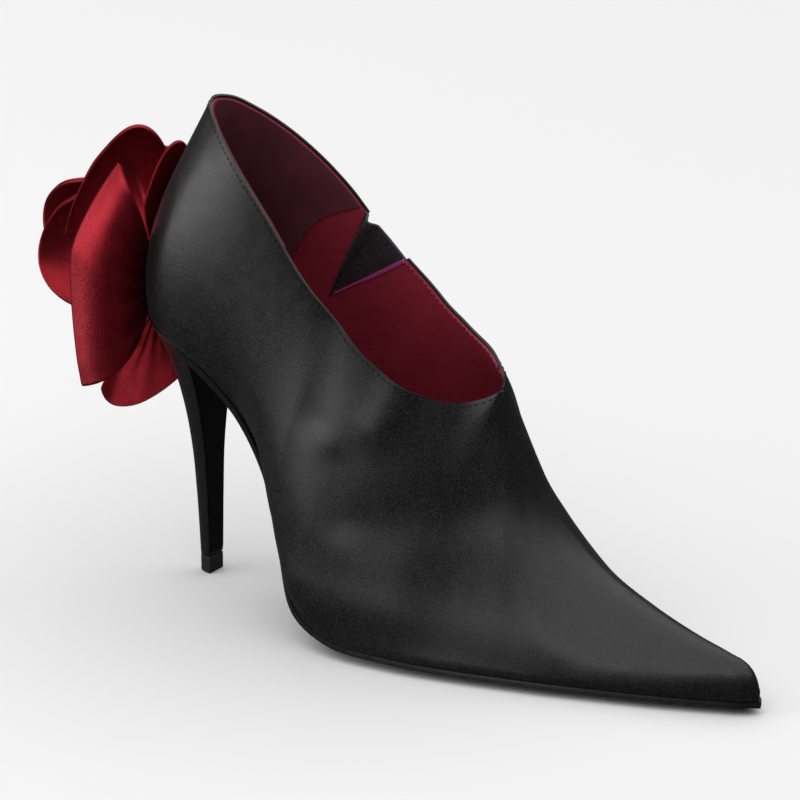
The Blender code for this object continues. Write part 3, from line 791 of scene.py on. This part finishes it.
# Heel
# A slim moulded heel covered in the upper's satin, flat at the breast and round behind,
# cupped on top to the seat of the shoe and nailed through the insole.
HEEL_STEPS = (72, 70)
HEEL_ROUNDING = 0.5
# Where the flat breast stands, and its share of the way round the section
BREAST_X = 1.6
BREAST_SHARE = 0.28
# Power of the section's round back: 1 is half an ellipse, less is squarer
HEEL_POWER = 0.9
# height at the breast, height at the back, half width, x of the back; from tip to seat
HEEL = (
    (6.3, 6.3, 3.9, -4.3),
    (29.0, 29.0, 4.75, -5.4),
    (46.0, 46.5, 5.8, -6.9),
    (60.0, 62.0, 8.1, -9.4),
    (70.0, 73.0, 10.6, -12.2),
    (79.0, 83.0, 14.0, -15.6),
    (85.0, 90.8, 17.6, -18.6),
    (88.5, 96.0, 20.7, -20.4),
)
HEEL_AT = curve(HEEL, False)


def heel_point(across, along):
    """Point on the heel: once round the D-shaped section, from tip to seat."""
    front_z, back_z, half, back_x = HEEL_AT(along * (len(HEEL) - 1))
    if across < BREAST_SHARE:
        x = BREAST_X
        y = half * (2 * across / BREAST_SHARE - 1)
    else:
        turn = math.pi * (across - BREAST_SHARE) / (1 - BREAST_SHARE)
        x = BREAST_X - (BREAST_X - back_x) * max(math.sin(turn), 0.0) ** HEEL_POWER
        y = half * math.cos(turn)
    share = (BREAST_X - x) / (BREAST_X - back_x)
    return (x, y, front_z + (back_z - front_z) * share)


def capped_loft(steps, point):
    """A tube round a section, closed at both ends."""
    made = patch(steps, point)
    bmesh.ops.remove_doubles(made, verts=made.verts, dist=WELD)
    bmesh.ops.holes_fill(made, edges=made.edges, sides=0)
    bmesh.ops.recalc_face_normals(made, faces=made.faces)
    return made


covered_heel = place("covered_heel", capped_loft(HEEL_STEPS, heel_point), black_satin)
soften(covered_heel, HEEL_ROUNDING, angle=35)
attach(covered_heel, "root")
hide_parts("heel")

# Breast cover
# A tongue of thin black leather glued down the flat front of the heel, over the satin's cut
# edges. Its own trimmed edge catches a fine line of light.
BREAST_COVER = 0.35
BREAST_MARGIN = 0.45
BREAST_STEPS = (8, 60)
BREAST_RUN = (0.01, 0.93)
BREAST_LIFT = 0.02
BREAST_ROUNDING = 0.15


def breast_point(across, along):
    """Point on the flat front of the heel, a margin inside its corners."""
    share = BREAST_RUN[0] + (BREAST_RUN[1] - BREAST_RUN[0]) * along
    front_z, half = HEEL_AT(share * (len(HEEL) - 1))[[0, 2]]
    return (BREAST_X + BREAST_LIFT, (half - BREAST_MARGIN) * (2 * across - 1), front_z)


breast_sheet = patch(BREAST_STEPS, breast_point)
weld(breast_sheet)
breast_sheet.faces.ensure_lookup_table()
if breast_sheet.faces[0].normal.x < 0:
    bmesh.ops.reverse_faces(breast_sheet, faces=breast_sheet.faces)
# Matt black leather: no wax on it, so the breast stays darker than the satin beside it.
breast_leather = new_finish("matt black leather", {
    "Base Color": linear("#040404"), "Roughness": 0.45, "Specular IOR Level": 0.25})
breast_cover = place("breast_cover", breast_sheet, breast_leather)
thicken(breast_cover, BREAST_COVER, 1.0)
soften(breast_cover, BREAST_ROUNDING, segments=2)
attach(breast_cover, "root")

# Top piece
# A block of hard black rubber pinned under the heel's tip, the part that wears and is replaced.
# It has the tip's own outline, because it is trimmed flush with the cover.
TOP_PIECE_HEIGHT = 6.0
TOP_PIECE_ROUNDING = 0.35
# Hard rubber: moulded and buffed, greyer and duller than the satin above it, with a fine grit.
RUBBER_GRIT = 0.6
RUBBER_GRIT_DEPTH = 0.05
rubber = new_finish("black rubber", {"Roughness": 0.55, "Specular IOR Level": 0.4})
rubber_place = node(rubber, "ShaderNodeTexCoord").outputs["Object"]
rubber_grit = node(rubber, "ShaderNodeTexNoise", {
    "Vector": rubber_place, "Scale": 1 / (RUBBER_GRIT * MM), "Detail": 3.0})
pattern(rubber, rubber_grit.outputs["Fac"], "#161617", "#262628",
        relief=rubber_grit.outputs["Fac"], strength=0.3, depth=RUBBER_GRIT_DEPTH)


def top_piece_point(across, along):
    """Point on the block's side: once round the heel's tip, from the floor up."""
    return (*heel_point(across, 0.0)[:2], TOP_PIECE_HEIGHT * along)


top_block = place("rubber_top_piece", capped_loft((HEEL_STEPS[0], 1), top_piece_point), rubber)
soften(top_block, TOP_PIECE_ROUNDING, angle=35)
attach(top_block, "root")
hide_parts("top_piece")

# Rose petals
# Each petal is two layers of red satin sewn face to face and turned, so its rim is a soft
# double roll. The petals are gathered at the base and sewn to the back of the heel.
ROSE_BACK = -21.6
ROSE_HEIGHT = 104.0
ROSE_SQUASH = 0.68
PETAL = 1.2
PETAL_STEPS = (36, 22)
RIM_GROOVE = 0.8
RIM_ROLL = 1.7
CORNER_POWER = 5
GATHERS = 5.0
GATHER_DEPTH = 0.9
SEWING_REACH = (1.5, 3.5)
# name, angle and half span of the gathered base, its radius and depth, swell of the sides,
# power of the rim (2 round, nearer 1 a corner), start, middle and end of the rim, bulge of the
# cup, then how far the start and end corners are rounded; triples are depth, reach and height
PETALS = (
    ("petal_outer", 5.0, 46.0, 16.0, -1.7, (2.5, 0.0, 5.0), 1.4,
     (14.0, -24.0, -37.0), (15.0, -26.0, 12.0), (1.7, -16.0, 43.0), (-16.5, -15.0, 0.0), 0.0, 0.0),
    ("petal_top", 85.0, 22.0, 13.4, 0.5, (-1.6, 1.8, 2.7), 2.0,
     (0.0, -6.0, 27.0), (-6.0, 0.0, 45.0), (-11.0, 6.0, 45.0), (-1.0, 1.0, 2.0), 0.1, 0.1),
    ("petal_inner", 204.0, 46.0, 16.0, -1.8, (0.0, -3.0, -13.2), 1.7,
     (8.0, 25.0, 24.0), (20.0, 27.0, -14.0), (8.0, 10.0, -42.0), (-4.0, 11.0, -4.0), 0.15, 0.15),
    ("petal_bottom", 286.0, 20.0, 13.4, -1.5, (3.9, -3.7, -1.0), 2.0,
     (-8.0, 7.0, -36.0), (6.0, -8.0, -47.0), (14.5, -14.0, -41.5), (0.0, -1.0, -3.0), 0.1, 0.05),
    ("petal_fold", 345.0, 33.0, 13.4, -1.3, (-0.4, -0.3, 8.4), 2.0,
     (17.0, -12.0, -32.0), (18.0, -20.0, -4.0), (14.0, -14.0, 24.0), (0.0, -5.5, 0.0), 0.15, 0.15),
    ("petal_side", 150.0, 42.0, 13.4, -1.0, (4.5, 1.0, -9.4), 1.8,
     (10.0, 15.0, 40.0), (34.0, 27.0, 22.0), (36.0, 24.0, -14.0), (-3.0, 11.0, 3.0), 0.2, 0.2),
    ("petal_crown", 92.0, 30.0, 10.8, 1.8, (-1.8, 0.9, 1.8), 2.0,
     (38.0, -8.0, 7.0), (16.0, 0.0, 45.0), (3.0, 10.0, 42.5), (3.0, 8.0, 4.0), 0.12, 0.15),
    ("petal_back", 184.0, 46.0, 10.0, 1.8, (1.6, -0.2, -6.2), 2.0,
     (36.0, 6.0, 26.0), (59.0, 13.0, 9.0), (47.0, 5.0, -15.0), (0.0, 18.0, 0.0), 0.2, 0.2),
    ("petal_low", 262.0, 28.0, 10.8, -0.5, (0.6, -3.0, -0.3), 2.0,
     (16.0, 12.0, -30.0), (22.0, 4.0, -37.0), (20.0, -8.0, -32.0), (0.0, 0.0, -5.0), 0.2, 0.2),
    ("petal_heart", 186.0, 66.0, 7.0, 2.8, (1.4, -0.4, -5.9), 2.0,
     (28.0, -1.0, 27.0), (55.0, 5.0, -1.0), (40.0, -4.0, -22.0), (0.0, 15.0, 0.0), 0.15, 0.2),
    ("petal_heart_outer", 350.0, 60.0, 8.0, 2.8, (0.0, -0.4, 3.8), 2.0,
     (20.0, -1.0, -20.0), (22.0, -13.0, 0.0), (20.0, -5.0, 18.0), (0.0, -5.0, 0.0), 0.15, 0.15),
)
# For each petal, ridges and troughs in its satin: places along the crease, as shares across and
# along the petal, then its width and height
PETAL_CREASES = {
    "petal_outer": (((0.95, 0.78), (0.53, 0.88), (0.1, 0.9), 8.0, 0.8),),
    "petal_bottom": (((0.75, 0.35), (0.8, 1.0), 3.0, 0.6), ((0.4, 0.3), (0.45, 1.0), 3.5, 0.4)),
    "petal_crown": (((0.35, 0.3), (0.3, 0.9), 5.0, -1.2), ((0.6, 0.4), (0.65, 0.9), 6.0, -0.8)),
    "petal_inner": (((0.3, 0.2), (0.25, 0.95), 4.0, 1.2), ((0.6, 0.2), (0.65, 0.95), 5.0, -1.2)),
    "petal_side": (((0.35, 0.2), (0.3, 0.95), 4.0, 1.0), ((0.7, 0.2), (0.75, 0.95), 5.0, -1.0)),
    "petal_back": (((0.4, 0.3), (0.35, 0.95), 4.0, -1.0), ((0.7, 0.3), (0.75, 0.95), 4.0, 0.8)),
    "petal_heart": (((0.3, 0.4), (0.25, 0.95), 4.0, 0.8),),
}
# Red satin: the same floats of thread on a dark ground, with a strong gloss that is red itself,
# so that a fold goes from near black to scarlet.
red_satin = satin("red satin", dark="#180104", light="#4e0711", roughness=0.38,
                  tint="#ff4654", ior=2.2, gloss=1.0, sparkle=1.0)


def rose_place(depth, reach, height):
    """A place in the flower, in the shoe's own frame."""
    return np.array((ROSE_BACK - depth, reach, ROSE_HEIGHT + height))


def rose_ring(angle, radius, depth):
    """A place on a squashed ring round the middle of the flower."""
    turn = math.radians(angle)
    return rose_place(depth, -ROSE_SQUASH * radius * math.cos(turn), radius * math.sin(turn))


def sewn_down(spot):
    """A place at a petal's base, moved until the petal lies on the satin behind the heel."""
    seat, normal, _, gap = OUTSIDE.find_nearest(Vector(spot))
    return spot + (np.array(seat + normal * (PETAL / 2)) - spot) * (1 - smooth(*SEWING_REACH, gap))


def petal_point(row):
    """The middle surface of one petal, as a function of its two shares."""
    _, middle, half, ring, seat, swell, power, start, centre, end, bulge, *rounding = row
    start, centre, end = [rose_place(*spot) for spot in (start, centre, end)]
    cup, stretch = [rose_place(*move) - rose_place(0.0, 0.0, 0.0) for move in (bulge, swell)]

    def point(across, along):
        side = 2 * across - 1
        corner = rounding[0] if side < 0 else rounding[1]
        along = along * (1 - corner * abs(side) ** CORNER_POWER)
        bend = abs(side) ** power
        rim = start * (bend - side) / 2 + centre * (1 - bend) + end * (bend + side) / 2
        base = sewn_down(rose_ring(middle + half * side, ring, seat))
        handle = (base + rim) / 2 + cup + stretch * side
        back = 1 - along
        gather = GATHER_DEPTH * back * back * math.sin(2 * math.pi * GATHERS * across)
        return (base * back * back + handle * (2 * along * back) + rim * along * along
                + cup / np.linalg.norm(cup) * gather)

    return point


def doubled(made):
    """Make a sheet two layers thick, sewn together along a groove in its rim."""
    made.normal_update()
    lift = {tuple(vert.co): vert.normal * (PETAL / 2) * (RIM_ROLL if vert.is_boundary else 1.0)
            for vert in made.verts}
    pushed = bmesh.ops.extrude_face_region(made, geom=made.faces[:])
    front = {item for item in pushed["geom"] if isinstance(item, bmesh.types.BMVert)}
    seam = [edge for edge in made.edges if len(front.intersection(edge.verts)) == 1]
    for vert in made.verts:
        move = lift[tuple(vert.co)]
        vert.co += move if vert in front else -move
    split = bmesh.ops.subdivide_edges(made, edges=seam, cuts=1)
    sewn = {item for item in split["geom_inner"] if isinstance(item, bmesh.types.BMVert)}
    for vert in sewn:
        inward = Vector()
        for edge in vert.link_edges:
            rim = edge.other_vert(vert)
            for face in rim.link_faces:
                if not sewn.intersection(face.verts):
                    inward += face.calc_center_median() - rim.co
        vert.co += inward.normalized() * RIM_GROOVE
    bmesh.ops.recalc_face_normals(made, faces=made.faces)
    return made


def round_rim(piece):
    """Soften a layered rim into a roll."""
    rounded = piece.modifiers.new("soft roll", "SUBSURF")
    rounded.levels = 1
    rounded.render_levels = 1


for row in PETALS:
    point = petal_point(row)
    sheet = patch(PETAL_STEPS, point)
    sheet.normal_update()
    creased(sheet, [([point(*spot) for spot in path], width, height)
                    for *path, width, height in PETAL_CREASES.get(row[0], ())])
    petal = place("satin_" + row[0], doubled(sheet), red_satin)
    round_rim(petal)
    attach(petal, "root")
    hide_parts(row[0])

# Bud
# One strip of the same red satin, doubled and sewn at its rim as the petals are. It is rolled up
# round the middle of the flower, tight inside and loose outside, and sewn down at its foot.
BUD_TURNS = 2.25
BUD_RADIUS = (2.2, 8.6)
BUD_DEPTH = 26.0
BUD_WAIST = 0.62
BUD_STEPS = (120, 14)


def bud_point(across, along):
    """Point on the strip: across along the roll from its heart, along from its foot to its rim."""
    radius = BUD_RADIUS[0] + (BUD_RADIUS[1] - BUD_RADIUS[0]) * across
    narrow = BUD_WAIST + (1 - BUD_WAIST) * along
    return rose_ring(360.0 * BUD_TURNS * across, radius * narrow, BUD_DEPTH * along)


rolled_bud = place("rolled_bud", doubled(patch(BUD_STEPS, bud_point)), red_satin)
round_rim(rolled_bud)
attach(rolled_bud, "root")
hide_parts("bud")

# Studio
# A sheet of pale paper as floor, a wide light overhead and soft cards round the shoe, seen from
# the photograph's own viewpoint, on the toe's side and a little above. Lengths are in metres.
PAPER_SIZE = 40.0
# Pale paper: uncoated, so it is matt and evenly bright. Reflections leave it out, because it
# would turn the black satin grey all over.
paper = new_finish("pale paper", {
    "Base Color": linear("#f2f2f2"), "Roughness": 0.9, "Specular IOR Level": 0.1})
floor_mesh = bmesh.new()
bmesh.ops.create_grid(floor_mesh, x_segments=2, y_segments=2, size=PAPER_SIZE / 2 / MM)
floor = place("floor", floor_mesh, paper)
floor.visible_glossy = False

AIM = Vector((0.0927, -0.0226, 0.0894))
AZIMUTH = math.radians(34.0)
ELEVATION = math.radians(21.0)
DISTANCE = 1.3
LENS = 183.0
SENSOR = 36.0
NEAREST = 0.05
camera_data = bpy.data.cameras.new("camera")
camera_data.lens = LENS
camera_data.sensor_width = SENSOR
camera_data.clip_start = NEAREST
camera = bpy.data.objects.new("camera", camera_data)
bpy.context.scene.collection.objects.link(camera)
towards = Vector((math.sin(AZIMUTH) * math.cos(ELEVATION), -math.cos(AZIMUTH) * math.cos(ELEVATION),
                  math.sin(ELEVATION)))
camera.location = AIM + towards * DISTANCE
camera.rotation_euler = (-towards).to_track_quat("-Z", "Y").to_euler()
bpy.context.scene.camera = camera

# A wide light straight above makes the paper evenly white, and a card on the camera's left lights
# the whole shoe. Two cards in front give the satin its highlights, and three low ones stand in for
# the light that the paper throws back on two petals and the sole.
SKY_STRENGTH = 2.9
SKY_ANGLE = 120.0
ROOM_STRENGTH = 0.06
SHOE_MIDDLE = Vector((0.111, 0.0, 0.1115))
ROSE_MIDDLE = Vector((-0.04, -0.015, 0.09))
ABOVE_BALL = Vector((0.104, -0.007, 0.108))
# name, place, what it faces, width and height, power, the one piece it lights or "" for all
CARDS = (
    ("camera left", (-0.66, -0.62, 0.22), SHOE_MIDDLE, (0.8, 0.36), 3.0, ""),
    ("front left", (-0.14, -0.93, 0.30), SHOE_MIDDLE, (0.5, 0.5), 1.3, "satin_upper"),
    ("front high", (0.34, -0.86, 0.56), SHOE_MIDDLE, (0.5, 0.2), 0.45, "satin_upper"),
    ("paper behind", (-0.21, -0.11, 0.004), ROSE_MIDDLE, (0.08, 0.08), 0.055, "satin_petal_outer"),
    ("paper in front", (0.045, -0.075, 0.004), ROSE_MIDDLE, (0.08, 0.08), 0.028, "satin_petal_bottom"),
    ("paper beside the sole", (0.117, -0.055, 0.008), ABOVE_BALL, (0.2, 0.03), 0.03, "leather_sole"),
)
sky = bpy.data.lights.new("overhead", "SUN")
sky.energy = SKY_STRENGTH
sky.angle = math.radians(SKY_ANGLE)
bpy.context.scene.collection.objects.link(bpy.data.objects.new("overhead", sky))
for name, spot, target, size, power, lit in CARDS:
    lamp = bpy.data.lights.new(name, "AREA")
    lamp.shape = "RECTANGLE"
    lamp.size, lamp.size_y = size
    lamp.energy = power
    card = bpy.data.objects.new(name, lamp)
    card.location = spot
    card.rotation_euler = (target - Vector(spot)).to_track_quat("-Z", "Y").to_euler()
    card.visible_camera = False
    if lit:
        seen = bpy.data.collections.new(name)
        seen.objects.link(bpy.data.objects[lit])
        card.light_linking.receiver_collection = seen
    bpy.context.scene.collection.objects.link(card)
world = bpy.data.worlds.new("studio")
world.use_nodes = True
node(world, "Background", {"Color": linear("#ffffff"), "Strength": ROOM_STRENGTH})
bpy.context.scene.world = world
bpy.context.scene.view_settings.view_transform = "Standard"
